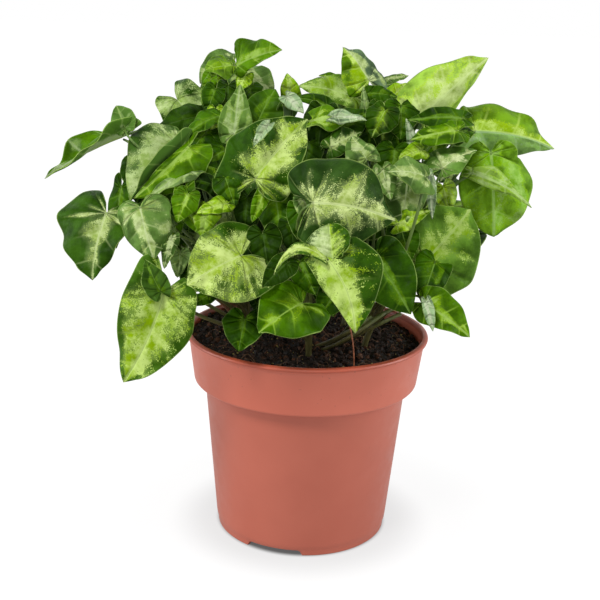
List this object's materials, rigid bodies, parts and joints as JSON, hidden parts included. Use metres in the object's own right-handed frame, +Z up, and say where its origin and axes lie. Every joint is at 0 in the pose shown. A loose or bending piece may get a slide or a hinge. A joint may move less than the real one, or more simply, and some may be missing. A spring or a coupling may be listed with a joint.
{
  "type": "potted plant",
  "caption": "Variegated arrowhead plant in a tapered round nursery pot with a deep collar; heart-shaped leaves on long stalks spread from the soil.",
  "frame": {"origin": "middle of the pot's foot on the surface that it stands on, on the pot's axis", "axes": "+Z up along the pot's axis, the front of the plant faces -Y, +X to the right of someone who looks at the front"},
  "size_m": [0.2461, 0.1884, 0.2414],
  "materials": {
    "pot_plastic": "terracotta-coloured moulded plastic, satin",
    "potting_soil": "dark moist potting mix with fibres and small light grains",
    "stem": "green to pinkish brown, smooth",
    "leaf": "semi-gloss leaf, dark green margin and cream to lime middle with a speckled edge"
  },
  "bodies": {
    "root": {"pot": "pot_plastic", "soil": "potting_soil", "stem_left": "stem", "stem_front": "stem", "stem_right": "stem", "stem_back_left": "stem", "stem_back_right": "stem", "leaf_01": "leaf", "leaf_02": "leaf", "leaf_03": "leaf", "leaf_04": "leaf", "leaf_05": "leaf", "leaf_06": "leaf", "leaf_07": "leaf", "leaf_08": "leaf", "leaf_09": "leaf", "leaf_10": "leaf", "leaf_11": "leaf", "leaf_12": "leaf", "leaf_13": "leaf", "leaf_14": "leaf", "leaf_15": "leaf", "leaf_16": "leaf", "leaf_17": "leaf", "leaf_18": "leaf", "leaf_19": "leaf", "leaf_20": "leaf", "leaf_21": "leaf", "leaf_22": "leaf", "leaf_23": "leaf", "leaf_24": "leaf", "leaf_25": "leaf", "leaf_26": "leaf", "leaf_27": "leaf", "leaf_28": "leaf", "leaf_29": "leaf", "leaf_30": "leaf", "leaf_31": "leaf", "leaf_32": "leaf", "leaf_33": "leaf", "leaf_34": "leaf", "leaf_35": "leaf", "leaf_36": "leaf", "leaf_37": "leaf", "leaf_38": "leaf", "leaf_39": "leaf", "leaf_40": "leaf", "leaf_41": "leaf", "leaf_42": "leaf", "leaf_43": "leaf", "leaf_44": "leaf", "leaf_45": "leaf", "leaf_46": "leaf", "leaf_47": "leaf", "leaf_48": "leaf", "leaf_49": "leaf", "leaf_50": "leaf", "leaf_51": "leaf", "leaf_52": "leaf"}
  },
  "joints": []
}
